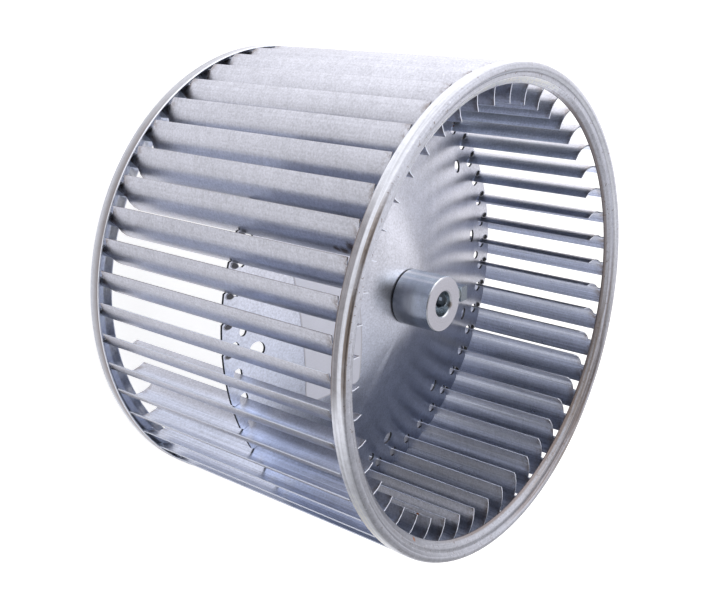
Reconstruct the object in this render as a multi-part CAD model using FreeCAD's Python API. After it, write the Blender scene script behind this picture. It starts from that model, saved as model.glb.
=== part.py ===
import FreeCAD, Part
import math
import os
from FreeCAD import Vector

# Double-inlet blower wheel with forward-curved blades, standing on its rear end ring.
# The axis of the wheel is +Z, the front inlet with the hub faces up, and the origin is
# the middle of the plane that the rear ring stands on. Millimetres and degrees.

# Wheel
WHEEL_DIAMETER = 241.3
WHEEL_WIDTH = 161.8
BLADE_COUNT = 48

# End rings, each rolled from one strip of sheet with a closed bead
RING_SHEET = 0.8
RING_LIP_LENGTH = 7.7
RING_BEAD_WIDTH = 4.87
RING_BEAD_RADIUS = 2.1
RING_BEAD_STEPS = 2
RING_LAND_WIDTH = 1.0
RING_SEAM_DEPTH = 1.9
RING_SHELF_WIDTH = 2.0
RING_THROAT_WIDTH = 5.3
RING_THROAT_DEPTH = 4.9

# Blades
BLADE_SHEET = 0.6
BLADE_TIP_INSET = 0.4
BLADE_DEPTH = 19.15
BLADE_SWEEP = 12.42
BLADE_CAMBER_RISE = 5.0
BLADE_BENDS = 7
BLADE_TAB_FIRST_INDEX = 4
BLADE_TAB_LAST_INDEX = 6
BLADE_END_GAP = 1.0
BLADE_TAB_SEAT = 0.1
FIRST_BLADE_ANGLE = 1.43

# Centre disc, dished towards the front
DISC_SHEET = 1.2
DISC_TOOTH_LENGTH = 8.7
DISC_RIM_WIDTH = 15.3
DISC_DISH_RISE = 21.7
DISC_SEAT_WIDTH = 3.7
SLOT_CLEARANCE = 0.1
SLOT_RELIEF_RADIUS = 2.9
SLOT_RELIEF_FACETS = 8
SLOT_RELIEF_OFFSET = 1.2
SLOT_RELIEF_LAG = 0.5
RIM_CORNER_CHAMFER = 1.2

# Holes in the disc
HOLE_COUNT = 12
HOLE_RADIUS = 3.6
HOLE_INSET = 4.0
FIRST_HOLE_ANGLE = 28.3
LARGE_HOLE_RADIUS = 4.0
LARGE_HOLE_INSET = 4.8
LARGE_HOLE_INDEX = 9
LARGE_HOLE_ANGLE = 296.7
PILOT_COUNT = 4
PILOT_RADIUS = 2.3
PILOT_OUTSET = 2.3
FIRST_PILOT_ANGLE = 20.0

# Hub
BORE_DIAMETER = 12.7
HUB_DIAMETER = 28.6
HUB_HEIGHT = 22.1
HUB_EDGE_CHAMFER = 0.6
BORE_CHAMFER = 0.75
HUB_NECK_RADIUS = 11.0
HUB_NECK_CLEARANCE = 0.03
HUB_STAKE_RADIUS = 12.6
HUB_STAKE_THICKNESS = 1.6

# Square-head set screw
SCREW_DIAMETER = 7.9
SCREW_CLEARANCE = 0.05
SCREW_DROP = 6.6
SCREW_ANGLE = 111.0
SCREW_TIP_GAP = 0.3
SCREW_SHANK_LENGTH = 13.0
SCREW_HEAD_FLATS = 7.9
SCREW_HEAD_HEIGHT = 5.9
SCREW_HEAD_CHAMFER = 0.7
SCREW_POINT_CHAMFER = 0.8

# Sizes that follow
AXIS = Vector(0, 0, 1)
ORIGIN = Vector(0, 0, 0)
wheel_radius = WHEEL_DIAMETER / 2
half_width = WHEEL_WIDTH / 2
middle = Vector(0, 0, half_width)
ring_lip_edge = half_width - RING_LIP_LENGTH
crown_radius = wheel_radius - RING_BEAD_RADIUS
seam_radius = wheel_radius - RING_BEAD_WIDTH
shelf_radius = seam_radius - RING_SHELF_WIDTH
throat_radius = seam_radius - RING_THROAT_WIDTH
blade_tip_radius = wheel_radius - BLADE_TIP_INSET
blade_inner_radius = blade_tip_radius - BLADE_DEPTH
blade_half_length = ring_lip_edge - BLADE_END_GAP
tab_half_length = half_width - RING_SEAM_DEPTH - RING_SHEET - BLADE_TAB_SEAT
disc_radius = blade_inner_radius + DISC_TOOTH_LENGTH
dish_radius = disc_radius - DISC_RIM_WIDTH
disc_front = DISC_SHEET / 2
hub_seat = disc_front + DISC_DISH_RISE
hub_face = hub_seat + HUB_HEIGHT
screw_height = hub_face - SCREW_DROP
bore_radius = BORE_DIAMETER / 2
hub_radius = HUB_DIAMETER / 2
seat_radius = hub_radius + DISC_SEAT_WIDTH
hub_hole_radius = HUB_NECK_RADIUS + HUB_NECK_CLEARANCE


def polar(radius, angle, height=0.0):
    turn = math.radians(angle)
    return Vector(radius * math.cos(turn), radius * math.sin(turn), height)


def meridian(radius, height):
    return Vector(radius, 0, height)


def revolve(points):
    face = Part.Face(Part.makePolygon(points + points[:1]))
    return face.revolve(ORIGIN, AXIS, 360)


def around(shape, angle):
    turned = shape.copy()
    turned.rotate(ORIGIN, AXIS, angle)
    return turned


def lift_to_frame(shape):
    lifted = shape.copy()
    lifted.translate(middle)
    return lifted


def end_ring():
    """Front ring about the middle plane: lip, rolled bead, sunk seam, shelf and throat cone."""
    top = half_width
    under = top - RING_SEAM_DEPTH - RING_SHEET
    bead_foot = top - RING_BEAD_RADIUS
    drop = RING_THROAT_DEPTH - RING_SEAM_DEPTH
    slope = math.atan2(drop, RING_THROAT_WIDTH - RING_SHELF_WIDTH)
    throat = meridian(throat_radius, top - RING_THROAT_DEPTH)
    throat_normal = Vector(-math.sin(slope), 0, math.cos(slope))
    bead = []
    for step in range(RING_BEAD_STEPS + 1):
        turn = math.radians(90.0 * step / RING_BEAD_STEPS)
        bead.append(meridian(crown_radius + RING_BEAD_RADIUS * math.cos(turn),
                             bead_foot + RING_BEAD_RADIUS * math.sin(turn)))
    return revolve([meridian(wheel_radius, ring_lip_edge)] + bead + [
        meridian(crown_radius - RING_LAND_WIDTH, top),
        meridian(seam_radius, top - RING_SEAM_DEPTH),
        meridian(shelf_radius, top - RING_SEAM_DEPTH),
        throat,
        throat - throat_normal * RING_SHEET,
        meridian(shelf_radius + RING_SHEET * math.tan(slope / 2), under),
        meridian(wheel_radius - RING_SHEET, under),
        meridian(wheel_radius - RING_SHEET, ring_lip_edge),
    ])


def camber():
    """The blade's arc: its centre, its radius, and its angles at the inner edge and the tip."""
    inner = Vector(blade_inner_radius, 0, 0)
    tip = Vector(math.sqrt(blade_tip_radius ** 2 - BLADE_SWEEP ** 2), -BLADE_SWEEP, 0)
    chord = tip - inner
    half = chord.Length / 2
    radius = (half ** 2 + BLADE_CAMBER_RISE ** 2) / (2 * BLADE_CAMBER_RISE)
    across = AXIS.cross(chord).normalize()
    centre = inner + chord * 0.5 - across * (radius - BLADE_CAMBER_RISE)
    spoke_in = inner - centre
    spoke_out = tip - centre
    start = math.atan2(spoke_in.y, spoke_in.x)
    end = math.atan2(spoke_out.y, spoke_out.x)
    return centre, radius, start, end


def blade_strip(first, last, thickness, half_length):
    """Sheet pressed along the blade's arc in equal bends, from one bend to another."""
    centre, radius, start, end = camber()
    centre = Vector(centre.x, centre.y, -half_length)
    back = []
    belly = []
    for bend in range(first, last + 1):
        turn = start + (end - start) * bend / BLADE_BENDS
        spoke = Vector(math.cos(turn), math.sin(turn), 0)
        back.append(centre + spoke * (radius + thickness / 2))
        belly.append(centre + spoke * (radius - thickness / 2))
    outline = back + belly[::-1]
    face = Part.Face(Part.makePolygon(outline + outline[:1]))
    return face.extrude(AXIS * (2 * half_length))


def blade():
    """One blade, with a tab at each end that reaches under the seam of its ring."""
    body = blade_strip(0, BLADE_BENDS, BLADE_SHEET, blade_half_length)
    tabs = blade_strip(BLADE_TAB_FIRST_INDEX, BLADE_TAB_LAST_INDEX, BLADE_SHEET,
                       tab_half_length)
    return body.fuse(tabs).removeSplitter()


def disc_body():
    """Flat rim and a conical dish with a flat seat for the hub, of even thickness."""
    slope = math.atan2(DISC_DISH_RISE, dish_radius - seat_radius)
    shift = DISC_SHEET * math.tan(slope / 2)
    front = [
        meridian(disc_radius, disc_front),
        meridian(dish_radius, disc_front),
        meridian(seat_radius, hub_seat),
        meridian(hub_hole_radius, hub_seat),
    ]
    rear = [
        meridian(hub_hole_radius, hub_seat - DISC_SHEET),
        meridian(seat_radius - shift, hub_seat - DISC_SHEET),
        meridian(dish_radius - shift, -disc_front),
        meridian(disc_radius, -disc_front),
    ]
    return revolve(front + rear)


def slot_relief():
    """Relief at the inner end of the slot on the X axis, with its round wall in equal facets."""
    step = 360.0 / SLOT_RELIEF_FACETS
    corners = [polar(SLOT_RELIEF_RADIUS, step * (facet + 0.5), -DISC_SHEET)
               for facet in range(SLOT_RELIEF_FACETS)]
    face = Part.Face(Part.makePolygon(corners + corners[:1]))
    face.translate(Vector(blade_inner_radius + SLOT_RELIEF_OFFSET, -SLOT_RELIEF_LAG, 0))
    return face.extrude(AXIS * (2 * DISC_SHEET))


def hole_through(radius, circle_radius, angle):
    depth = DISC_DISH_RISE + 2 * DISC_SHEET
    foot = polar(circle_radius, angle, -DISC_SHEET)
    return Part.makeCylinder(radius, depth, foot, AXIS)


def center_disc():
    """Dished disc with a slot, a relief and a chamfered tooth for each blade."""
    slot = blade_strip(0, BLADE_BENDS, BLADE_SHEET + 2 * SLOT_CLEARANCE, DISC_SHEET)
    notch = slot.fuse(slot_relief())
    pitch = 360.0 / BLADE_COUNT
    disc = disc_body().cut([around(notch, FIRST_BLADE_ANGLE + index * pitch)
                            for index in range(BLADE_COUNT)])
    corners = [edge for edge in disc.Edges if stands_on_rim(edge)]
    disc = disc.makeChamfer(RIM_CORNER_CHAMFER, corners)
    holes = [hole_through(LARGE_HOLE_RADIUS, dish_radius - LARGE_HOLE_INSET, LARGE_HOLE_ANGLE)]
    for index in range(HOLE_COUNT):
        if index != LARGE_HOLE_INDEX:
            angle = FIRST_HOLE_ANGLE + index * 360.0 / HOLE_COUNT
            holes.append(hole_through(HOLE_RADIUS, dish_radius - HOLE_INSET, angle))
    for index in range(PILOT_COUNT):
        angle = FIRST_PILOT_ANGLE + index * 360.0 / PILOT_COUNT
        holes.append(hole_through(PILOT_RADIUS, dish_radius + PILOT_OUTSET, angle))
    return disc.cut(holes)


def stands_on_rim(edge):
    """Whether an edge is a tooth's corner: upright, and on the disc's outer wall."""
    middle_radius = math.hypot(edge.CenterOfMass.x, edge.CenterOfMass.y)
    return isinstance(edge.Curve, Part.Line) and math.isclose(middle_radius, disc_radius)


def screw_frame(shape):
    """Move a shape drawn along +Z from the axis to the set screw's place in the hub."""
    placed = shape.copy()
    placed.rotate(ORIGIN, Vector(0, 1, 0), 90)
    placed.rotate(ORIGIN, AXIS, SCREW_ANGLE)
    placed.translate(Vector(0, 0, screw_height))
    return placed


def hub():
    """Turned hub, staked over behind the disc, with the tapped hole for its set screw."""
    under_disc = hub_seat - DISC_SHEET
    stake_end = under_disc - HUB_STAKE_THICKNESS
    body = revolve([
        meridian(bore_radius, stake_end),
        meridian(HUB_STAKE_RADIUS, stake_end),
        meridian(HUB_STAKE_RADIUS, under_disc),
        meridian(HUB_NECK_RADIUS, under_disc),
        meridian(HUB_NECK_RADIUS, hub_seat),
        meridian(hub_radius, hub_seat),
        meridian(hub_radius, hub_face - HUB_EDGE_CHAMFER),
        meridian(hub_radius - HUB_EDGE_CHAMFER, hub_face),
        meridian(bore_radius + BORE_CHAMFER, hub_face),
        meridian(bore_radius, hub_face - BORE_CHAMFER),
    ])
    tapped = Part.makeCylinder(SCREW_DIAMETER / 2 + SCREW_CLEARANCE, HUB_DIAMETER)
    return body.cut(screw_frame(tapped))


def set_screw():
    """Square-head set screw with a chamfered head and point."""
    tip = bore_radius + SCREW_TIP_GAP
    radius = SCREW_DIAMETER / 2
    point = Part.makeCone(radius - SCREW_POINT_CHAMFER, radius, SCREW_POINT_CHAMFER,
                          Vector(0, 0, tip))
    shank = Part.makeCylinder(radius, SCREW_SHANK_LENGTH - SCREW_POINT_CHAMFER,
                              Vector(0, 0, tip + SCREW_POINT_CHAMFER))
    flats = SCREW_HEAD_FLATS
    head = Part.makeBox(flats, flats, SCREW_HEAD_HEIGHT,
                        Vector(-flats / 2, -flats / 2, tip + SCREW_SHANK_LENGTH))
    screw_end = tip + SCREW_SHANK_LENGTH + SCREW_HEAD_HEIGHT
    end_edges = [edge for edge in head.Edges if math.isclose(edge.CenterOfMass.z, screw_end)]
    head = head.makeChamfer(SCREW_HEAD_CHAMFER, end_edges)
    return screw_frame(point.fuse([shank, head]).removeSplitter())


def main():
    os.makedirs("parts", exist_ok=True)
    ring = end_ring()
    nodes = {
        "front_end_ring": lift_to_frame(ring),
        "rear_end_ring": lift_to_frame(ring.mirror(ORIGIN, AXIS)),
        "center_disc": lift_to_frame(center_disc()),
        "hub": lift_to_frame(hub()),
        "set_screw": lift_to_frame(set_screw()),
    }
    first = blade()
    pitch = 360.0 / BLADE_COUNT
    for index in range(BLADE_COUNT):
        angle = FIRST_BLADE_ANGLE + index * pitch
        nodes["blade_%02d" % (index + 1)] = lift_to_frame(around(first, angle))
    for name, shape in nodes.items():
        shape.exportStep("parts/" + name + ".step")


main()
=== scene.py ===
import math

import bmesh
import bpy
from mathutils import Matrix, Vector


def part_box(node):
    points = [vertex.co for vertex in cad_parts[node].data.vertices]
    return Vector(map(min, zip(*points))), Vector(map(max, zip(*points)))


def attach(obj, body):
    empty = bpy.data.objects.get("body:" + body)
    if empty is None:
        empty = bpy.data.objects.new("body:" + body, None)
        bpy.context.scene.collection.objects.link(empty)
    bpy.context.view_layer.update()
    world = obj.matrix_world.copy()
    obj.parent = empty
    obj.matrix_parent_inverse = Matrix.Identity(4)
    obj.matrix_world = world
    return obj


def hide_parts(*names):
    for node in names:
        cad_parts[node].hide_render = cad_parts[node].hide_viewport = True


# The finish of a double-inlet blower wheel of galvanised sheet. Metres and degrees.
# The wheel's axis is +Z. It stands on its rear ring, and the camera is rolled over.

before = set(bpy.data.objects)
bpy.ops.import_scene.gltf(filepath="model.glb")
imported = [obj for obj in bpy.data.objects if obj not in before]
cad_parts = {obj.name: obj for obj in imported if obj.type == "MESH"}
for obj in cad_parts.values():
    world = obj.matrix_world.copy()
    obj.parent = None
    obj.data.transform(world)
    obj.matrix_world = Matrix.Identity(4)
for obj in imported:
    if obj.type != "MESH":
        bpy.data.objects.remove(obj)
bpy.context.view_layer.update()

# Camera
CAMERA_PLACE = Vector((0.0, -0.437964, 0.402622))
CAMERA_AIM_OFFSET = Vector((0.00746, -0.002396, -0.003151))
CAMERA_ROLL = 103.948
CAMERA_LENS = 51.22

# Light
WORLD_COLOUR = (1.0, 0.965, 0.96)
WORLD_BRIGHT_SIDE = 1.75
WORLD_DIM_SIDE = 0.6
WORLD_SIDE_SPAN = 0.8
WORLD_TOP = 1.08
WORLD_TOP_SPAN = (0.70, 0.86)
WORLD_DARK_SHARE = 0.12
WORLD_DARK_TOWARDS = Vector((0.05, -0.82, 0.57))
WORLD_DARK_CORE = 20.0
WORLD_DARK_EDGE = 46.0
KEY_POWER = 2.5
KEY_SIZE = 1.1
KEY_PLACE = Vector((-1.15, 0.35, 1.25))

# Floor
FLOOR_HALF_SIZE = 12.0
FLOOR_GLOW = 0.84
FLOOR_BOUNCE = 0.45
FLOOR_UNDER = 0.3
FLOOR_MIDDLE = 0.8
FLOOR_BRIGHT_SIDE = 1.4
FLOOR_NEAR_SHARE = 0.75
FLOOR_WEDGE = 0.0
FLOOR_WEDGE_SPREAD = 1.7
FLOOR_BRIGHT_SPAN = (-0.30, 0.02)
FLOOR_NEAR_SPAN = (-0.30, -0.10)
FLOOR_WEDGE_SPAN = (0.05, 0.14)
FLOOR_UNDER_SPAN = (0.09, 0.13)

# Edges rounded on the model's own nodes
WELD_DISTANCE = 1e-5
BEND_ANGLE = 28.0
RING_EDGE = 0.0005
BLADE_EDGE = 0.00012
SHEARED_FACE_AREA = 100e-6
HUB_EDGE = 0.0003

# Blank sticker on the front of the disc: how far it is turned about the axis, and where its
# sides lie along and across that turn
LABEL_TURN = 28.0
LABEL_LEFT = -0.036
LABEL_RIGHT = 0.037
LABEL_OUTER = -0.0661
LABEL_INNER = -0.0332
LABEL_CORNER = 0.004
LABEL_THICKNESS = 0.00012
LABEL_LIFT = 0.00002
LABEL_STEPS = 60

# A coarse thread on the set screw's shank
THREAD_PITCH = 0.00141
THREAD_DEPTH = 0.00075
THREAD_ROWS = 8
THREAD_SIDES = 40

# Marks punched into the disc beside each blade, on the front
MARK_RADIUS = 0.1063
MARK_OFFSET = 0.0021
MARK_LENGTH = 0.0027
MARK_BREADTH = 0.0016
MARK_LIP = 0.00022
MARK_SIDES = 14

# Small rust spots, and spots of painted shade where a bent blade edge opens a gap, each with its
# place and its reach
BLADE_RUST = (((0.1007, -0.0110, 0.1453), 0.0011), ((-0.0972, 0.0367, 0.0812), 0.0008))
BLADE_GAP_SHADE = (((-0.0139, -0.1125, 0.1474), 0.0030), ((-0.0118, -0.1092, 0.1425), 0.0030),
              ((-0.0121, -0.1098, 0.1385), 0.0022))
RING_RUST = (((0.1078, -0.0303, 0.1583), 0.0013),)
SEAM_RADIUS = 0.11578

# Where the rings change their finish. FROM and WITHIN are distances from the wheel's axis,
# BELOW and ABOVE are depths under the flat end of the ring, and ENDs are heights.
# Several of these bands carry painted highlights, painted shade and a painted reflection.
FRONT_END = (0.02, 0.14)
REAR_END = (0.02, 0.01)
RING_RIM_WITHIN = (0.1121, 0.1113)
RING_CONE_WITHIN = (0.1141, 0.1137)
RING_SEAM_FROM = (0.1150, 0.1156)
RING_SEAM_WITHIN = (0.1172, 0.1166)
RING_BEAD_WITHIN = (0.1177, 0.1169)
RING_CREVICE_FROM = (0.1163, 0.1175)
RING_CREVICE_WITHIN = (0.1198, 0.1196)
RING_CROWN_FROM = (0.1192, 0.1197)
RING_CROWN_WITHIN = (0.1195, 0.1188)
RING_WALL_FROM = (0.1199, 0.1202)
RING_WALL_BELOW = (0.0010, 0.0019)
RING_DUST_AND_SHADE_BELOW = (0.0040, 0.0045)
RING_LIP_BELOW = (0.0068, 0.0072)
RING_FLANK_FROM = (0.1194, 0.1197)
RING_FLANK_ABOVE = (0.0023, 0.0020)

# Where the hub and the screw change their finish: painted highlight streaks at an x with a share, a
# stain, and distances from the wheel's axis and from the screw's own height, for a painted shade and
# glint
HUB_HIGHLIGHT_STREAKS = ((-0.0090, 0.75), (-0.0120, 0.9))
HUB_SIDE_FROM = (0.0136, 0.0141)
BORE_STAIN_PLACE = (-0.0006, 0.00632)
BORE_STAIN_DEPTH = 0.0008
BORE_STAIN_REACH = 0.0021
SCREW_TIP_WITHIN = (0.0084, 0.0076)
SCREW_GLINT_WITHIN = (0.00674, 0.00669)
SCREW_GLINT_HALF = (0.0011, 0.0006)

SHEET_COLOUR = (0.515, 0.536, 0.606)
# A painted shade tint, for the blades' inward faces and the disc's +X side
PAINTED_SHADE_TINT = (0.95, 1.0, 1.08)
# A painted highlight colour, for cut edges, the rear ring's lip and a glint on the screw
PAINTED_GLINT_COLOUR = (0.82, 0.87, 0.97)
# A dark colour for real stains, flecks and scratches, and for painted shade
STAIN_AND_SHADE_COLOUR = (0.16, 0.13, 0.12)
# A brown for real stains and browner patches, and for a painted reflection on the front ring's near
# side
BROWN_STAIN_AND_REFLECTION = (0.20, 0.165, 0.14)
RUST_COLOUR = (0.36, 0.13, 0.04)
ZINC_COLOUR = (0.62, 0.68, 0.73)
HEAD_COLOUR = (0.13, 0.155, 0.19)
PAPER_COLOUR = (0.70, 0.73, 0.835)
BORDER_COLOUR = (0.42, 0.42, 0.46)
RING_COLOUR = (0.485, 0.51, 0.585)
# A dark colour for dust with painted shade on the near side of the front ring
DUST_AND_SHADE_COLOUR = (0.225, 0.22, 0.238)
# A pale colour for spangle flecks, and for painted highlights on the rings
PALE_AND_HIGHLIGHT_COLOUR = (0.84, 0.885, 0.98)
DISC_COLOUR = (0.524, 0.545, 0.619)
FACE_COLOUR = (0.44, 0.45, 0.51)
HUB_SIDE_COLOUR = (0.68, 0.74, 0.80)
# A near-black colour for painted shade in pits, crevices, walls of holes and at the hub's foot
PAINTED_SHADE_COLOUR = (0.05, 0.05, 0.055)
WHITE = (1.0, 1.0, 1.0)


def radii(node):
    """The least and greatest distance of a node's vertices from the wheel's axis."""
    reach = [math.hypot(v.co.x, v.co.y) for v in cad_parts[node].data.vertices]
    return min(reach), max(reach)


ring_low, ring_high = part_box("front_end_ring")
wheel_top = ring_high.z
ring_foot = ring_low.z
centre = Vector((0.0, 0.0, wheel_top / 2))
blade_inner, blade_tip = radii("blade_01")
disc_low, disc_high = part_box("center_disc")
disc_radius = radii("center_disc")[1]
hub_low, hub_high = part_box("hub")
blade_names = sorted(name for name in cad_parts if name.startswith("blade_"))


class Graph:
    """A material's nodes, with a short call for each kind that the finishes use."""

    def __init__(self, name):
        self.material = bpy.data.materials.new(name)
        self.material.use_nodes = True
        self.tree = self.material.node_tree
        self.shader = self.tree.nodes["Principled BSDF"]
        self.place = self.node("ShaderNodeTexCoord").outputs["Object"]
        split = self.node("ShaderNodeSeparateXYZ")
        self.join(self.place, split.inputs[0])
        self.x, self.y, self.z = split.outputs
        flat = self.combine(self.x, self.y, 0.0)
        length = self.node("ShaderNodeVectorMath", operation="LENGTH")
        self.join(flat, length.inputs[0])
        self.radius = length.outputs["Value"]

    def node(self, kind, **settings):
        made = self.tree.nodes.new(kind)
        for key, value in settings.items():
            setattr(made, key, value)
        return made

    def join(self, source, target):
        if isinstance(source, bpy.types.NodeSocket):
            self.tree.links.new(source, target)
        elif isinstance(source, (tuple, list)) and len(source) == 3 and target.type == "RGBA":
            target.default_value = (*source, 1.0)
        else:
            target.default_value = source

    def math(self, operation, first, second=0.0, third=0.0, clamp=False):
        made = self.node("ShaderNodeMath", operation=operation, use_clamp=clamp)
        for socket, value in zip(made.inputs, (first, second, third)):
            self.join(value, socket)
        return made.outputs[0]

    def times(self, first, *others):
        """The product of two or more values."""
        for other in others:
            first = self.math("MULTIPLY", first, other)
        return first

    def apart(self, first, second):
        return self.math("ABSOLUTE", self.math("SUBTRACT", first, second))

    def combine(self, x, y, z):
        made = self.node("ShaderNodeCombineXYZ")
        for socket, value in zip(made.inputs, (x, y, z)):
            self.join(value, socket)
        return made.outputs[0]

    def stretch(self, x, y, z):
        """The object's place, with each axis multiplied by its own factor."""
        made = self.node("ShaderNodeVectorMath", operation="MULTIPLY")
        self.join(self.place, made.inputs[0])
        made.inputs[1].default_value = (x, y, z)
        return made.outputs[0]

    def noise(self, vector, scale=1.0, detail=3.0, roughness=0.55, distortion=0.0, w=None):
        made = self.node("ShaderNodeTexNoise")
        if w is not None:
            made.noise_dimensions = "4D"
            self.join(w, made.inputs["W"])
        self.join(vector, made.inputs["Vector"])
        made.inputs["Scale"].default_value = scale
        made.inputs["Detail"].default_value = detail
        made.inputs["Roughness"].default_value = roughness
        made.inputs["Distortion"].default_value = distortion
        return made.outputs["Fac"]

    def between(self, value, low, high, start=0.0, end=1.0):
        """The value eased from start to end as it goes from low to high."""
        made = self.node("ShaderNodeMapRange", interpolation_type="SMOOTHSTEP")
        for socket, setting in zip(made.inputs, (value, low, high, start, end)):
            self.join(setting, socket)
        return made.outputs[0]

    def mix(self, amount, first, second, blend="MIX"):
        made = self.node("ShaderNodeMix", data_type="RGBA", blend_type=blend)
        self.join(amount, made.inputs["Factor"])
        self.join(first, made.inputs[6])
        self.join(second, made.inputs[7])
        return made.outputs[2]

    def scale(self, colour, factor):
        made = self.node("ShaderNodeVectorMath", operation="SCALE")
        self.join(colour, made.inputs[0])
        self.join(factor, made.inputs["Scale"])
        return made.outputs[0]

    def facing_out(self):
        """How far the surface faces away from the wheel's axis, from -1 to 1."""
        out = self.node("ShaderNodeVectorMath", operation="NORMALIZE")
        self.join(self.combine(self.x, self.y, 0.0), out.inputs[0])
        product = self.node("ShaderNodeVectorMath", operation="DOT_PRODUCT")
        self.join(out.outputs[0], product.inputs[0])
        self.join(self.node("ShaderNodeNewGeometry").outputs["Normal"], product.inputs[1])
        return product.outputs["Value"]

    def upright(self):
        """How nearly the surface faces along the wheel's axis, either way."""
        split = self.node("ShaderNodeSeparateXYZ")
        self.join(self.node("ShaderNodeNewGeometry").outputs["Normal"], split.inputs[0])
        return self.math("ABSOLUTE", split.outputs["Z"])

    def attribute(self, name):
        made = self.node("ShaderNodeAttribute", attribute_name=name)
        return made.outputs["Fac"]

    def speck(self, spot, reach):
        """One near a spot, with a ragged edge, and nought beyond its reach."""
        away = self.node("ShaderNodeVectorMath", operation="DISTANCE")
        self.join(self.place, away.inputs[0])
        away.inputs[1].default_value = spot
        ragged = self.noise(self.place, 900.0, 3.0, 0.7)
        length = self.math("MULTIPLY_ADD", ragged, reach * 1.2, away.outputs["Value"])
        return self.between(length, reach * 1.7, reach * 0.9)

    def bump(self, height, strength, distance):
        made = self.node("ShaderNodeBump")
        made.inputs["Strength"].default_value = strength
        made.inputs["Distance"].default_value = distance
        self.join(height, made.inputs["Height"])
        self.join(made.outputs[0], self.shader.inputs["Normal"])

    def finish(self, colour, roughness, metallic=1.0):
        self.join(colour, self.shader.inputs["Base Color"])
        self.join(roughness, self.shader.inputs["Roughness"])
        self.shader.inputs["Metallic"].default_value = metallic
        return self.material


def tone(graph, *parts):
    """One, plus each noise about its middle times its weight."""
    total = 1.0
    for noise, weight in parts:
        total = graph.math("MULTIPLY_ADD", graph.math("SUBTRACT", noise, 0.5), weight, total)
    return total


def blade_finish():
    """Galvanised sheet, with grain, draw marks along the blade and stained ends; painted light by
    side, a painted shade tint on inward faces, painted highlights on cut edges and painted shade on
    cut tips.
    """
    g = Graph("blade_sheet")
    grain = g.noise(g.place, 1050.0, 2.0, 0.65)
    mottle = g.noise(g.place, 190.0, 5.0, 0.65)
    smudge = g.noise(g.stretch(45.0, 45.0, 30.0), 1.0, 3.0, 0.5)
    streak = g.noise(g.stretch(900.0, 900.0, 7.0), 1.0, 3.0, 0.65)
    cross = g.noise(g.stretch(50.0, 50.0, 420.0), 1.0, 3.0, 0.65)
    inward = g.between(g.facing_out(), 0.1, -0.3)
    lines = g.times(g.math("SUBTRACT", streak, 0.5), g.between(inward, 0.0, 1.0, 0.3, 1.3))
    shade = tone(g, (grain, 0.75), (mottle, 0.30), (smudge, 0.20), (cross, 0.20))
    # Painted light: the blades are brighter towards -X and darker towards +X, but not on the inward
    # faces of the far side.
    painted_light_level = g.times(g.between(g.x, -0.105, -0.06, 1.75, 0.84), g.between(g.x, 0.07, 0.105, 1.0, 0.70))
    far_inward = g.times(inward, g.between(g.y, -0.06, -0.01))
    painted_light_level = g.between(far_inward, 0.0, 1.0, 1.0, painted_light_level)
    colour = g.scale(SHEET_COLOUR, g.times(painted_light_level, g.math("ADD", shade, lines)))
    # Painted shade: a bluer tint on the faces that look in towards the axis.
    colour = g.mix(inward, colour, PAINTED_SHADE_TINT, "MULTIPLY")
    height = g.apart(g.z, centre.z)
    end = centre.z - (wheel_top - ring_foot)
    near_end = g.between(height, end - 0.0065, end)
    stain = g.times(near_end, g.between(g.noise(g.place, 260.0, 4.0, 0.7), 0.40, 0.60))
    stain_colour = g.mix(g.noise(g.place, 120.0, 2.0, 0.5), STAIN_AND_SHADE_COLOUR, BROWN_STAIN_AND_REFLECTION)
    colour = g.mix(g.times(stain, 0.8), colour, stain_colour)
    # Painted highlight on the narrow cut faces, and painted shade on the cut tips except on the +X
    # side.
    tip = g.between(g.radius, blade_tip - 0.0009, blade_tip - 0.0005)
    tip = g.times(tip, g.between(g.x, 0.040, 0.015))
    sheared = g.attribute("sheared")
    painted_edge_highlight = g.times(sheared, g.math("SUBTRACT", 1.0, tip))
    colour = g.mix(g.times(painted_edge_highlight, 0.9), colour, PAINTED_GLINT_COLOUR)
    colour = g.mix(g.times(sheared, tip, 0.5), colour, STAIN_AND_SHADE_COLOUR)
    for spot, reach in BLADE_RUST:
        colour = g.mix(g.speck(spot, reach), colour, RUST_COLOUR)
    # Painted shade where a bent blade edge opens a dark gap.
    for spot, reach in BLADE_GAP_SHADE:
        colour = g.mix(g.speck(spot, reach), colour, STAIN_AND_SHADE_COLOUR)
    smooth = g.math("MULTIPLY_ADD", mottle, 0.16, g.between(inward, 0.0, 1.0, 0.30, 0.22))
    rough = g.math("MULTIPLY_ADD", sheared, 0.25, smooth)
    g.bump(g.math("ADD", grain, g.times(streak, 1.2)), 0.4, 0.0001)
    return g.finish(colour, rough)


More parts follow.
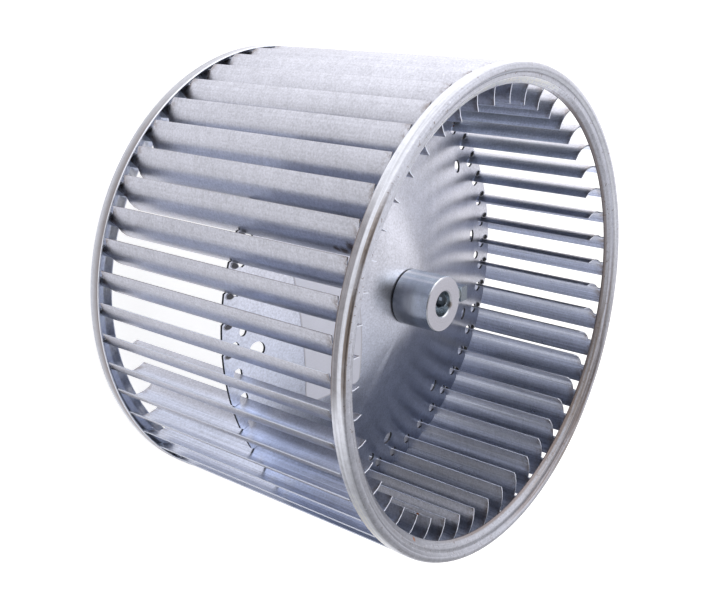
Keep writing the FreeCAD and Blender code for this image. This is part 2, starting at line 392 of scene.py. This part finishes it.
def ring_finish():
    """Rolled sheet: lines along the ring, spangle, scratches and rust, with painted light by side,
    painted highlights and shade in bands, dust with painted shade on the near wall, and a brown line
    in part of the near side that is a painted reflection.
    """
    g = Graph("ring_sheet")
    grain = g.noise(g.place, 1000.0, 2.0, 0.65)
    mottle = g.noise(g.place, 330.0, 4.0, 0.7)
    cloud = g.noise(g.place, 60.0, 3.0, 0.6)
    rolled = g.noise(g.combine(g.times(g.x, 22.0), g.times(g.y, 22.0),
                               g.times(g.z, 1000.0)), 1.0, 3.0, 0.65,
                     w=g.times(g.radius, 1000.0))
    shade = tone(g, (grain, 0.50), (mottle, 0.55), (cloud, 0.22), (rolled, 0.60))
    # Painted light by side: darker towards +X; on the top (-X) side the cone is lighter and the bead
    # and flat faces darker.
    inner = g.between(g.radius, *RING_BEAD_WITHIN)
    top = g.times(g.between(g.x, -0.01, -0.08), g.between(g.y, 0.03, -0.01))
    cone = g.times(g.between(g.radius, *RING_CONE_WITHIN), g.between(g.upright(), 0.95, 0.88))
    crown = g.math("SUBTRACT", g.between(g.x, 0.02, 0.08, 1.0, 0.76), g.times(top, 0.2))
    lift = g.between(cone, 0.0, 1.0, g.math("MULTIPLY_ADD", top, -0.16, 1.0),
                     g.math("MULTIPLY_ADD", top, 0.95, 1.0))
    lift = g.times(lift, g.between(g.x, 0.0, 0.08, 1.0, 0.64))
    lift = g.between(inner, 0.0, 1.0, crown, lift)
    colour = g.scale(g.scale(RING_COLOUR, shade), lift)
    fleck = g.noise(g.place, 620.0, 2.0, 0.6)
    colour = g.mix(g.between(fleck, 0.63, 0.71, 0.0, 0.75), colour, STAIN_AND_SHADE_COLOUR)
    colour = g.mix(g.between(fleck, 0.34, 0.26, 0.0, 0.3), colour, PALE_AND_HIGHLIGHT_COLOUR)
    right = g.times(g.between(g.y, 0.045, 0.075), g.between(g.x, -0.08, 0.0))
    # Browner patches on the ring on the +Y side.
    browned = g.times(right, g.between(g.x, 0.10, 0.07), g.between(g.radius, *RING_CROWN_WITHIN),
                     g.between(rolled, 0.42, 0.60, 0.08, 0.80))
    colour = g.mix(browned, colour, BROWN_STAIN_AND_REFLECTION)
    # Painted shade along the ring's inner rim on the +Y side.
    rim = g.times(g.between(g.radius, *RING_RIM_WITHIN), g.between(g.y, -0.02, 0.03))
    colour = g.mix(g.times(rim, 0.75), colour, STAIN_AND_SHADE_COLOUR)
    # Painted shade in the crease of the seam on the +Y side, in patches.
    seam = g.times(g.between(g.radius, *RING_SEAM_FROM), g.between(g.radius, *RING_SEAM_WITHIN))
    seam = g.times(seam, right, g.between(rolled, 0.36, 0.50, 0.3, 0.8))
    colour = g.mix(seam, colour, STAIN_AND_SHADE_COLOUR)
    scratch = g.between(rolled, 0.60, 0.70)
    colour = g.mix(g.times(scratch, 0.30), colour, STAIN_AND_SHADE_COLOUR)
    depth = g.math("SUBTRACT", centre.z, g.apart(g.z, centre.z))
    front = g.between(g.z, *FRONT_END)
    rear = g.between(g.z, *REAR_END)
    near = g.times(g.between(g.x, -0.047, -0.018), g.between(g.x, 0.060, 0.040), front,
                   g.between(g.y, -0.06, -0.08))
    # Painted highlight: the outer wall is pale and streaked, weaker towards +X and on the rear ring.
    wall = g.times(g.between(g.radius, *RING_WALL_FROM), g.between(depth, *RING_WALL_BELOW))
    painted_light_level = g.math("ADD", g.between(g.x, -0.01, 0.05, 0.70, 0.85),
                   g.between(g.x, 0.07, 0.10, 0.0, 0.25))
    painted_light_level = g.times(painted_light_level, g.between(g.z, 0.01, 0.02, 0.84, 1.0))
    streaked = g.scale(PALE_AND_HIGHLIGHT_COLOUR, g.times(painted_light_level, tone(g, (rolled, 1.2), (mottle, 0.5))))
    # Painted shade on the rear ring's wall, darker away from the floor except on the -X side.
    foot = g.times(rear, g.between(g.z, 0.0020, 0.0066), g.between(g.x, -0.085, -0.045))
    streaked = g.mix(g.times(foot, 0.75), streaked, STAIN_AND_SHADE_COLOUR)
    colour = g.mix(g.times(wall, 0.92), colour, streaked)
    # Dusty streaks with painted shade on the near side's wall, which is darker there than elsewhere.
    dull = g.times(near, wall, g.between(depth, *RING_DUST_AND_SHADE_BELOW))
    dust_and_shade = g.scale(DUST_AND_SHADE_COLOUR, tone(g, (rolled, 1.6), (mottle, 0.9)))
    colour = g.mix(g.times(dull, 0.88), colour, dust_and_shade)
    # Painted shade along the end of the lip on the near side.
    edge = g.times(near, wall, g.between(depth, *RING_LIP_BELOW))
    colour = g.mix(g.times(edge, 0.7), colour, STAIN_AND_SHADE_COLOUR)
    # A painted reflection: a brown line on the bead's flank on the near side.
    flank = g.times(g.between(g.radius, *RING_FLANK_FROM), g.between(depth, *RING_FLANK_ABOVE))
    brown = g.between(g.noise(g.place, 40.0, 3.0, 0.6), 0.30, 0.55, 0.45, 1.0)
    colour = g.mix(g.times(near, flank, brown, 0.9), colour, BROWN_STAIN_AND_REFLECTION)
    # Painted highlight: a pale band between the seam and the bead on the front ring's -X side.
    slope = g.times(g.between(g.radius, SEAM_RADIUS + 0.0003, SEAM_RADIUS + 0.0006), inner,
                    g.between(g.x, 0.02, -0.04))
    pale = g.scale(PALE_AND_HIGHLIGHT_COLOUR, tone(g, (grain, 0.4), (mottle, 0.5)))
    colour = g.mix(g.times(slope, front, 0.8), colour, pale)
    # Painted light: the rear ring's faces that face along the axis, below the bead, are pale.
    inside = g.times(g.between(g.upright(), 0.5, 0.8), g.between(depth, 0.0022, 0.0026))
    colour = g.mix(g.times(inside, rear), colour, pale)
    # Painted shade in the rear ring's crevice near the floor.
    crevice = g.times(g.between(g.radius, *RING_CREVICE_FROM),
                      g.between(g.radius, *RING_CREVICE_WITHIN), rear,
                      g.between(g.z, 0.0004, 0.0008))
    colour = g.mix(g.times(crevice, 0.85), colour, PAINTED_SHADE_COLOUR)
    # Painted highlight on the edge of the rear ring's lip.
    lip = g.times(rear, g.between(g.z, 0.0069, 0.0072), g.between(g.radius, 0.1196, 0.1199))
    colour = g.mix(lip, colour, PAINTED_GLINT_COLOUR)
    # Painted highlight on the ring's outer edge on the +Y side.
    tinted_patch = g.times(g.between(g.radius, *RING_CROWN_FROM), g.between(g.y, 0.02, 0.05),
                   g.between(g.x, -0.03, 0.01))
    colour = g.mix(g.times(tinted_patch, 0.8), colour, PALE_AND_HIGHLIGHT_COLOUR)
    for spot, reach in RING_RUST:
        colour = g.mix(g.speck(spot, reach), colour, RUST_COLOUR)
    g.bump(g.math("ADD", g.math("ADD", grain, mottle), g.times(rolled, 1.8)), 0.7, 0.0002)
    rough = g.math("MULTIPLY_ADD", mottle, 0.25, 0.24)
    return g.finish(colour, rough)


def disc_finish():
    """Pressed sheet of the disc: soft mottle, fine grain and faint wiping marks, with painted light
    brighter towards -Y, a painted shade tint towards +X and painted shade on the walls of its holes.
    """
    g = Graph("disc_sheet")
    grain = g.noise(g.place, 1000.0, 2.0, 0.65)
    mottle = g.noise(g.place, 130.0, 5.0, 0.65)
    smudge = g.noise(g.place, 30.0, 3.0, 0.5, 0.6)
    wiped = g.noise(g.stretch(30.0, 240.0, 120.0), 1.0, 3.0, 0.6, 0.4)
    shade = tone(g, (grain, 0.80), (mottle, 0.30), (smudge, 0.20), (wiped, 0.18))
    # Painted light brighter towards -Y, and a painted shade tint towards +X.
    colour = g.scale(DISC_COLOUR, g.times(shade, g.between(g.y, -0.045, -0.085, 1.0, 1.18)))
    colour = g.mix(g.between(g.x, -0.02, 0.05), colour, PAINTED_SHADE_TINT, "MULTIPLY")
    # Painted shade on the walls of the disc's holes and slots.
    wall = g.between(g.upright(), 0.6, 0.3)
    colour = g.mix(g.times(wall, 0.92), colour, PAINTED_SHADE_COLOUR)
    g.bump(grain, 0.3, 0.00007)
    rough = g.math("MULTIPLY_ADD", wall, 0.35, g.math("MULTIPLY_ADD", mottle, 0.14, 0.25))
    return g.finish(colour, rough)


def hub_finish():
    """Zinc plating over turned steel: tool lines, painted highlight streaks, painted shade at the
    foot of its side, browner low on one side, and a brown stain by the bore.
    """
    g = Graph("hub_zinc_plate")
    grain = g.noise(g.place, 1500.0, 2.0, 0.6)
    mottle = g.noise(g.place, 260.0, 4.0, 0.6)
    turned = g.noise(g.combine(0.0, 0.0, g.times(g.z, 2600.0)), 1.0, 2.0, 0.6,
                     w=g.times(g.radius, 2600.0))
    shade = tone(g, (grain, 0.40), (mottle, 0.50), (turned, 0.45))
    colour = g.scale(ZINC_COLOUR, shade)
    face = g.between(g.z, hub_high.z - 0.0005, hub_high.z - 0.0002)
    colour = g.mix(face, colour, g.scale(FACE_COLOUR, tone(g, (grain, 0.5), (turned, 0.35))))
    side = g.times(g.between(g.radius, *HUB_SIDE_FROM), g.math("SUBTRACT", 1.0, face))
    colour = g.mix(side, colour, g.scale(HUB_SIDE_COLOUR, shade))
    # Painted highlights: white streaks along the hub's side.
    for place, share in HUB_HIGHLIGHT_STREAKS:
        apart = g.apart(g.x, place)
        streak = g.times(side, g.between(apart, 0.0009, 0.0003, 0.0, share))
        colour = g.mix(streak, colour, WHITE)
    # Browner on the lower part of the hub's side, away from the -X side.
    tinted_patch = g.times(side, g.between(g.z, hub_high.z - 0.006, hub_high.z - 0.012, 0.0, 0.4))
    colour = g.mix(g.times(tinted_patch, g.between(g.x, -0.008, -0.002)), colour, BROWN_STAIN_AND_REFLECTION)
    # Painted shade at the foot of the hub's side, where it meets the disc.
    ledge = g.times(side, g.between(g.z, disc_high.z + 0.0011, disc_high.z + 0.0006))
    colour = g.mix(ledge, colour, PAINTED_SHADE_COLOUR)
    patch = g.speck((*BORE_STAIN_PLACE, hub_high.z - BORE_STAIN_DEPTH), BORE_STAIN_REACH)
    colour = g.mix(g.times(patch, 0.8), colour, BROWN_STAIN_AND_REFLECTION)
    g.bump(g.math("ADD", grain, g.times(turned, 1.5)), 0.35, 0.00007)
    rough = g.math("MULTIPLY_ADD", mottle, 0.10, g.between(face, 0.0, 1.0, 0.20, 0.34))
    return g.finish(colour, rough)


def screw_finish():
    """Zinc plating on the set screw, darker on the faces that face along the wheel's axis, with
    painted shade on the tip and a painted glint.
    """
    g = Graph("screw_zinc_plate")
    grain = g.noise(g.place, 1500.0, 2.0, 0.6)
    mottle = g.noise(g.place, 420.0, 4.0, 0.6)
    colour = g.scale(ZINC_COLOUR, tone(g, (grain, 0.26), (mottle, 0.30)))
    flat = g.between(g.upright(), 0.9, 0.98)
    colour = g.mix(g.times(flat, 0.9), colour, HEAD_COLOUR)
    # Painted shade on the screw's tip, down in the bore.
    tip = g.between(g.radius, *SCREW_TIP_WITHIN)
    colour = g.mix(g.times(tip, 0.8), colour, PAINTED_SHADE_COLOUR)
    # A painted glint on the screw inside the bore.
    low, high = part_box("set_screw")
    off = g.math("ABSOLUTE", g.math("SUBTRACT", g.z, (low.z + high.z) / 2))
    dot = g.times(g.between(off, *SCREW_GLINT_HALF), g.between(g.radius, *SCREW_GLINT_WITHIN))
    colour = g.mix(dot, colour, PAINTED_GLINT_COLOUR)
    g.bump(grain, 0.3, 0.00006)
    return g.finish(colour, g.math("MULTIPLY_ADD", mottle, 0.14, 0.22))


def mark_finish():
    """Sheet pressed down beside a blade, with painted shade in the pit, weaker on the -Y side."""
    g = Graph("punched_sheet")
    grain = g.noise(g.place, 1100.0, 2.0, 0.65)
    mottle = g.noise(g.place, 330.0, 4.0, 0.7)
    colour = g.scale(SHEET_COLOUR, tone(g, (grain, 0.4), (mottle, 0.3)))
    # Painted shade in the pit, weaker on the -Y side.
    deep = g.between(g.attribute("pit"), 0.3, 0.7)
    deep = g.times(deep, g.between(g.y, -0.07, -0.03, 0.8, 1.0))
    colour = g.mix(deep, colour, PAINTED_SHADE_COLOUR)
    g.bump(grain, 0.3, 0.00006)
    return g.finish(colour, g.math("MULTIPLY_ADD", deep, 0.45, 0.24))


def paper_finish():
    """Plain matt paper, with a thin line of painted shade along its border."""
    g = Graph("sticker_paper")
    fibre = g.noise(g.place, 900.0, 3.0, 0.6)
    cloud = g.noise(g.place, 60.0, 3.0, 0.5)
    colour = g.scale(PAPER_COLOUR, tone(g, (fibre, 0.10), (cloud, 0.08)))
    turn = math.radians(LABEL_TURN)
    along = g.math("MULTIPLY_ADD", g.x, math.cos(turn), g.times(g.y, math.sin(turn)))
    across = g.math("MULTIPLY_ADD", g.y, math.cos(turn), g.times(g.x, -math.sin(turn)))
    nearest = 1.0
    for place, edge in ((along, LABEL_LEFT), (along, LABEL_RIGHT),
                        (across, LABEL_OUTER), (across, LABEL_INNER)):
        apart = g.apart(place, edge)
        nearest = g.math("MINIMUM", nearest, apart)
    # Painted shade along the sticker's border.
    border = g.between(nearest, 0.0009, 0.0004)
    colour = g.mix(g.times(border, 0.55), colour, BORDER_COLOUR)
    g.bump(fibre, 0.15, 0.00004)
    return g.finish(colour, g.math("MULTIPLY_ADD", fibre, 0.1, 0.5), 0.0)


def smooth_group():
    """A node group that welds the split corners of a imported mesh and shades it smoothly."""
    group = bpy.data.node_groups.new("weld_and_smooth", "GeometryNodeTree")
    group.interface.new_socket("Geometry", in_out="INPUT", socket_type="NodeSocketGeometry")
    group.interface.new_socket("Geometry", in_out="OUTPUT", socket_type="NodeSocketGeometry")
    start = group.nodes.new("NodeGroupInput")
    end = group.nodes.new("NodeGroupOutput")
    weld = group.nodes.new("GeometryNodeMergeByDistance")
    weld.inputs["Distance"].default_value = WELD_DISTANCE
    plain = group.nodes.new("GeometryNodeRemoveAttribute")
    plain.inputs["Name"].default_value = "custom_normal"
    area = group.nodes.new("GeometryNodeInputMeshFaceArea")
    narrow = group.nodes.new("FunctionNodeCompare")
    narrow.operation = "LESS_THAN"
    narrow.inputs[1].default_value = SHEARED_FACE_AREA
    sheared = group.nodes.new("GeometryNodeStoreNamedAttribute")
    sheared.data_type = "FLOAT"
    sheared.domain = "FACE"
    sheared.inputs["Name"].default_value = "sheared"
    faces = group.nodes.new("GeometryNodeSetShadeSmooth")
    edges = group.nodes.new("GeometryNodeSetShadeSmooth")
    edges.domain = "EDGE"
    angle = group.nodes.new("GeometryNodeInputMeshEdgeAngle")
    steep = group.nodes.new("FunctionNodeCompare")
    steep.operation = "GREATER_THAN"
    steep.inputs[1].default_value = math.radians(BEND_ANGLE)
    edges.inputs["Shade Smooth"].default_value = False
    link = group.links.new
    link(start.outputs[0], weld.inputs["Geometry"])
    link(weld.outputs[0], plain.inputs["Geometry"])
    link(area.outputs[0], narrow.inputs[0])
    link(plain.outputs[0], sheared.inputs["Geometry"])
    link(narrow.outputs[0], sheared.inputs["Value"])
    link(sheared.outputs[0], faces.inputs["Geometry"])
    link(faces.outputs[0], edges.inputs["Geometry"])
    link(angle.outputs["Unsigned Angle"], steep.inputs[0])
    link(steep.outputs[0], edges.inputs["Selection"])
    link(edges.outputs[0], end.inputs[0])
    return group


def soften(node, group, width=0.0, segments=2):
    """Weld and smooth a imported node, and round its sharp edges by a width."""
    tidy = node.modifiers.new("weld_and_smooth", "NODES")
    tidy.node_group = group
    if width > 0.0:
        bevel = node.modifiers.new("edge", "BEVEL")
        bevel.width = width
        bevel.segments = segments
        bevel.limit_method = "ANGLE"
        bevel.angle_limit = math.radians(BEND_ANGLE)
        bevel.harden_normals = True
        bevel.use_clamp_overlap = True


def dress(node, material):
    for slot in node.material_slots:
        slot.material = material


def blank_label():
    """A bare paper sticker that lies on the front of the disc's cone."""
    turn = math.radians(LABEL_TURN)
    along = Vector((math.cos(turn), math.sin(turn)))
    across = Vector((-math.sin(turn), math.cos(turn)))
    seat_radius, dish_radius = cone_radii()
    slope = (disc_high.z - disc_front) / (dish_radius - seat_radius)
    bm = bmesh.new()
    layers = []
    for lift in (LABEL_LIFT, LABEL_LIFT + LABEL_THICKNESS):
        rows = []
        for i in range(LABEL_STEPS + 1):
            share = 0.5 - 0.5 * math.cos(math.pi * i / LABEL_STEPS)
            u = LABEL_LEFT + (LABEL_RIGHT - LABEL_LEFT) * share
            from_end = min(u - LABEL_LEFT, LABEL_RIGHT - u)
            into = max(0.0, LABEL_CORNER - from_end)
            cut = LABEL_CORNER - math.sqrt(max(0.0, LABEL_CORNER ** 2 - into ** 2))
            row = []
            for j in range(LABEL_STEPS // 2 + 1):
                low = LABEL_OUTER + cut
                high = LABEL_INNER - cut
                v = low + (high - low) * j / (LABEL_STEPS // 2)
                spot = along * u + across * v
                height = disc_front + (dish_radius - spot.length) * slope + lift
                row.append(bm.verts.new((spot.x, spot.y, height)))
            rows.append(row)
        layers.append(rows)
    for rows in layers:
        for left, right in zip(rows, rows[1:]):
            for a, b, c, d in zip(left, right, right[1:], left[1:]):
                bm.faces.new((a, b, c, d))
    under, over = [outline(rows) for rows in layers]
    for index, corner in enumerate(under):
        nxt = (index + 1) % len(under)
        bm.faces.new((corner, under[nxt], over[nxt], over[index]))
    bmesh.ops.recalc_face_normals(bm, faces=bm.faces)
    return piece("blank_label", bm)


def threaded_screw():
    """The set screw with its thread cut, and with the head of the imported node."""
    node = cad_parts["set_screw"]
    low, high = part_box("set_screw")
    height = (low.z + high.z) / 2
    middle = (low + high) / 2
    axis = Vector((middle.x, middle.y, 0.0)).normalized()
    side = Vector((-axis.y, axis.x, 0.0))
    upward = Vector((0.0, 0.0, 1.0))

    def along(spot):
        return spot.dot(axis)

    def reach(spot):
        return math.hypot(spot.dot(side), spot.z - height)

    bm = bmesh.new()
    bm.from_mesh(node.data)
    bmesh.ops.remove_doubles(bm, verts=bm.verts, dist=WELD_DISTANCE)
    tip = min(along(v.co) for v in bm.verts)
    shank = [v.co for v in bm.verts if along(v.co) < tip + 0.002]
    major = max(reach(spot) for spot in shank)
    point = min(reach(spot) for spot in shank)
    base = min(along(v.co) for v in bm.verts if reach(v.co) > major * 1.05)
    gone = [face for face in bm.faces if along(face.calc_center_median()) < base - 1e-6]
    bmesh.ops.delete(bm, geom=gone, context="FACES")
    step = THREAD_PITCH / THREAD_ROWS
    count = int((base - tip) / step) + 2
    rows = []
    for i in range(count):
        place = min(tip + i * step, base + 0.00005)
        row = []
        for j in range(THREAD_SIDES):
            turn = 2 * math.pi * j / THREAD_SIDES
            phase = (place / THREAD_PITCH - j / THREAD_SIDES) % 1.0
            cut = min(1.0, max(0.0, (1.0 - abs(2.0 * phase - 1.0)) * 1.2 - 0.1))
            radius = min(major - THREAD_DEPTH * cut, point + (place - tip))
            spot = axis * place + side * (radius * math.cos(turn))
            row.append(bm.verts.new(spot + upward * (height + radius * math.sin(turn))))
        rows.append(row)
    for lower, upper in zip(rows, rows[1:]):
        for j in range(THREAD_SIDES):
            k = (j + 1) % THREAD_SIDES
            bm.faces.new((lower[j], lower[k], upper[k], upper[j]))
    bm.faces.new(rows[0][::-1])
    bmesh.ops.recalc_face_normals(bm, faces=bm.faces)
    return piece("set_screw_threaded", bm)


def punched_marks():
    """One shallow pit with a raised lip beside each blade, on the front of the disc."""
    bm = bmesh.new()
    pit = bm.verts.layers.float.new("pit")
    rings = ((1.0, 0.0, 0.0), (0.92, 1.0, 0.0), (0.82, 1.0, 0.4), (0.72, 0.15, 1.0), (0.3, 0.1, 1.0))
    for name in blade_names:
        spots = [v.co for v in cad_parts[name].data.vertices]
        nearest = min(math.hypot(spot.x, spot.y) for spot in spots)
        edge = [spot for spot in spots if math.hypot(spot.x, spot.y) < nearest + 0.0002]
        turn = math.atan2(sum(spot.y for spot in edge), sum(spot.x for spot in edge))
        outward = Vector((math.cos(turn), math.sin(turn), 0.0))
        around = Vector((-outward.y, outward.x, 0.0))
        centre_spot = outward * MARK_RADIUS + around * MARK_OFFSET
        rows = []
        for share, lift, deep in rings:
            row = []
            for j in range(MARK_SIDES):
                angle = 2 * math.pi * j / MARK_SIDES
                ragged = 1.0 + 0.10 * math.sin(3 * angle + 5 * turn) * (share > 0.6)
                spot = centre_spot + outward * (MARK_LENGTH * share * ragged * math.cos(angle))
                spot += around * (MARK_BREADTH * share * math.sin(angle))
                spot.z = disc_front + LABEL_LIFT + MARK_LIP * lift
                made = bm.verts.new(spot)
                made[pit] = deep
                row.append(made)
            rows.append(row)
        for outer, inner in zip(rows, rows[1:]):
            for j in range(MARK_SIDES):
                k = (j + 1) % MARK_SIDES
                bm.faces.new((outer[j], outer[k], inner[k], inner[j]))
        bm.faces.new(rows[-1])
    for face in bm.faces:
        face.smooth = True
    return piece("punched_marks", bm)


def outline(rows):
    """The border of a grid of vertices, once around."""
    right = [row[-1] for row in rows[1:-1]]
    left = [row[0] for row in rows[1:-1]]
    return rows[0] + right + rows[-1][::-1] + left[::-1]


def cone_radii():
    """Where the disc's cone starts and ends on its front, read from its tilted faces."""
    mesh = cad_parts["center_disc"].data
    spots = [mesh.vertices[index].co for face in mesh.polygons if 0.9 < face.normal.z < 0.995
             for index in face.vertices]
    reach = [math.hypot(spot.x, spot.y) for spot in spots]
    return min(reach), max(reach)


def piece(name, bm):
    mesh = bpy.data.meshes.new(name)
    bm.to_mesh(mesh)
    bm.free()
    made = bpy.data.objects.new(name, mesh)
    bpy.context.scene.collection.objects.link(made)
    return made


def build_object():
    group = smooth_group()
    blade_sheet = blade_finish()
    ring_sheet = ring_finish()
    disc_sheet = disc_finish()
    for name in blade_names:
        soften(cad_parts[name], group, BLADE_EDGE, 1)
        dress(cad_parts[name], blade_sheet)
    for name in ("front_end_ring", "rear_end_ring"):
        soften(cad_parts[name], group, RING_EDGE, 3)
        dress(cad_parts[name], ring_sheet)
    soften(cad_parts["center_disc"], group)
    dress(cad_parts["center_disc"], disc_sheet)
    soften(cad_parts["hub"], group, HUB_EDGE, 2)
    dress(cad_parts["hub"], hub_finish())
    screw = threaded_screw()
    soften(screw, group)
    screw.data.materials.clear()
    screw.data.materials.append(screw_finish())
    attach(screw, "set_screw")
    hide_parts("set_screw")
    marks = punched_marks()
    marks.data.materials.append(mark_finish())
    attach(marks, "wheel")
    label = blank_label()
    label.data.materials.append(paper_finish())
    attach(label, "wheel")


def camera():
    lens = bpy.data.cameras.new("camera")
    lens.lens = CAMERA_LENS
    made = bpy.data.objects.new("camera", lens)
    view = (centre + CAMERA_AIM_OFFSET - CAMERA_PLACE).normalized()
    upright = (Vector((0, 0, 1)) - view * view.z).normalized()
    turn = math.radians(CAMERA_ROLL)
    up = upright * math.cos(turn) - view.cross(upright) * math.sin(turn)
    right = view.cross(up)
    rows = Matrix((right, up, -view)).transposed().to_4x4()
    made.matrix_world = Matrix.Translation(CAMERA_PLACE) @ rows
    bpy.context.scene.collection.objects.link(made)
    bpy.context.scene.camera = made


def softbox(name, place, size, power):
    data = bpy.data.lights.new(name, "AREA")
    data.shape = "DISK"
    data.size = size
    data.energy = power
    made = bpy.data.objects.new(name, data)
    made.location = place
    made.rotation_euler = (centre - place).to_track_quat("-Z", "Y").to_euler()
    bpy.context.scene.collection.objects.link(made)


def studio():
    scene = bpy.context.scene
    scene.view_settings.view_transform = "Standard"
    scene.world = studio_world()
    softbox("key_light", KEY_PLACE, KEY_SIZE, KEY_POWER)
    floor()


def eased(tree, value, span, ends):
    """The value eased from one end to the other as it crosses its span."""
    made = tree.nodes.new("ShaderNodeMapRange")
    made.interpolation_type = "SMOOTHSTEP"
    tree.links.new(value, made.inputs[0])
    for socket, setting in zip(made.inputs[1:5], (*span, *ends)):
        socket.default_value = setting
    return made.outputs[0]


def worked(tree, operation, *values):
    made = tree.nodes.new("ShaderNodeMath")
    made.operation = operation
    for socket, value in zip(made.inputs, values):
        if isinstance(value, bpy.types.NodeSocket):
            tree.links.new(value, socket)
        else:
            socket.default_value = value
    return made.outputs[0]


def blended(tree, amount, first, second):
    """A plain value, mixed from first to second by an amount."""
    made = tree.nodes.new("ShaderNodeMix")
    for socket, value in zip(made.inputs[:4], (amount, None, first, second)):
        if isinstance(value, bpy.types.NodeSocket):
            tree.links.new(value, socket)
        elif value is not None:
            socket.default_value = value
    return made.outputs[0]


def room_tint(tree, path):
    """White for the camera, and the room's own colour for every other ray."""
    made = tree.nodes.new("ShaderNodeMix")
    made.data_type = "RGBA"
    tree.links.new(path.outputs["Is Camera Ray"], made.inputs["Factor"])
    made.inputs[6].default_value = (*WORLD_COLOUR, 1.0)
    made.inputs[7].default_value = (*WHITE, 1.0)
    return made.outputs[2]


def studio_world():
    """White all round for the camera, and for the object dimmer on the camera's side."""
    world = bpy.data.worlds.new("studio")
    world.use_nodes = True
    tree = world.node_tree
    sky = tree.nodes["Background"]
    place = tree.nodes.new("ShaderNodeTexCoord").outputs["Generated"]
    split = tree.nodes.new("ShaderNodeSeparateXYZ")
    tree.links.new(place, split.inputs[0])
    side = eased(tree, split.outputs["X"], (-WORLD_SIDE_SPAN, WORLD_SIDE_SPAN),
                 (WORLD_BRIGHT_SIDE, WORLD_DIM_SIDE))
    overhead = eased(tree, split.outputs["Z"], WORLD_TOP_SPAN, (0.0, 1.0))
    side = blended(tree, overhead, side, WORLD_TOP)
    facing = tree.nodes.new("ShaderNodeVectorMath")
    facing.operation = "DOT_PRODUCT"
    facing.inputs[1].default_value = WORLD_DARK_TOWARDS.normalized()
    tree.links.new(place, facing.inputs[0])
    limits = [math.cos(math.radians(angle)) for angle in (WORLD_DARK_EDGE, WORLD_DARK_CORE)]
    share = eased(tree, facing.outputs["Value"], limits, (1.0, WORLD_DARK_SHARE))
    strength = worked(tree, "MULTIPLY", side, share)
    path = tree.nodes.new("ShaderNodeLightPath")
    tree.links.new(room_tint(tree, path), sky.inputs["Color"])
    seen = blended(tree, path.outputs["Is Camera Ray"], strength, 1.0)
    tree.links.new(seen, sky.inputs["Strength"])
    return world


def floor():
    bm = bmesh.new()
    half = FLOOR_HALF_SIZE
    bm.faces.new([bm.verts.new((x, y, 0.0)) for x, y in
                  ((-half, -half), (half, -half), (half, half), (-half, half))])
    made = piece("floor", bm)
    material = bpy.data.materials.new("floor_white")
    material.use_nodes = True
    tree = material.node_tree
    tree.nodes.remove(tree.nodes["Principled BSDF"])
    matt = tree.nodes.new("ShaderNodeBsdfDiffuse")
    matt.inputs["Color"].default_value = (FLOOR_BOUNCE, FLOOR_BOUNCE, FLOOR_BOUNCE, 1.0)
    glow = tree.nodes.new("ShaderNodeEmission")
    place = tree.nodes.new("ShaderNodeTexCoord").outputs["Object"]
    split = tree.nodes.new("ShaderNodeSeparateXYZ")
    tree.links.new(place, split.inputs[0])
    bright = eased(tree, split.outputs["X"], FLOOR_BRIGHT_SPAN, (FLOOR_BRIGHT_SIDE, FLOOR_MIDDLE))
    near = eased(tree, split.outputs["Y"], FLOOR_NEAR_SPAN, (FLOOR_NEAR_SHARE, 1.0))
    spread = worked(tree, "ABSOLUTE", split.outputs["Y"])
    reach = worked(tree, "MULTIPLY_ADD", spread, -FLOOR_WEDGE_SPREAD, split.outputs["X"])
    wedge = eased(tree, reach, FLOOR_WEDGE_SPAN, (1.0, FLOOR_WEDGE))
    path = tree.nodes.new("ShaderNodeLightPath")
    strength = worked(tree, "MULTIPLY", worked(tree, "MULTIPLY", bright, near), wedge)
    length = tree.nodes.new("ShaderNodeVectorMath")
    length.operation = "LENGTH"
    tree.links.new(place, length.inputs[0])
    under = eased(tree, length.outputs["Value"], FLOOR_UNDER_SPAN, (FLOOR_UNDER, 0.0))
    strength = worked(tree, "ADD", strength, under)
    for ray, seen in (("Is Camera Ray", FLOOR_GLOW), ("Is Diffuse Ray", 0.0)):
        strength = blended(tree, path.outputs[ray], strength, seen)
    tree.links.new(room_tint(tree, path), glow.inputs["Color"])
    tree.links.new(strength, glow.inputs["Strength"])
    both = tree.nodes.new("ShaderNodeAddShader")
    tree.links.new(matt.outputs[0], both.inputs[0])
    tree.links.new(glow.outputs[0], both.inputs[1])
    tree.links.new(both.outputs[0], tree.nodes["Material Output"].inputs["Surface"])
    made.data.materials.append(material)


disc_front = min(v.co.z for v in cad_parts["center_disc"].data.vertices
                 if math.hypot(v.co.x, v.co.y) > disc_radius - 1e-5 and v.co.z > centre.z)
build_object()
camera()
studio()
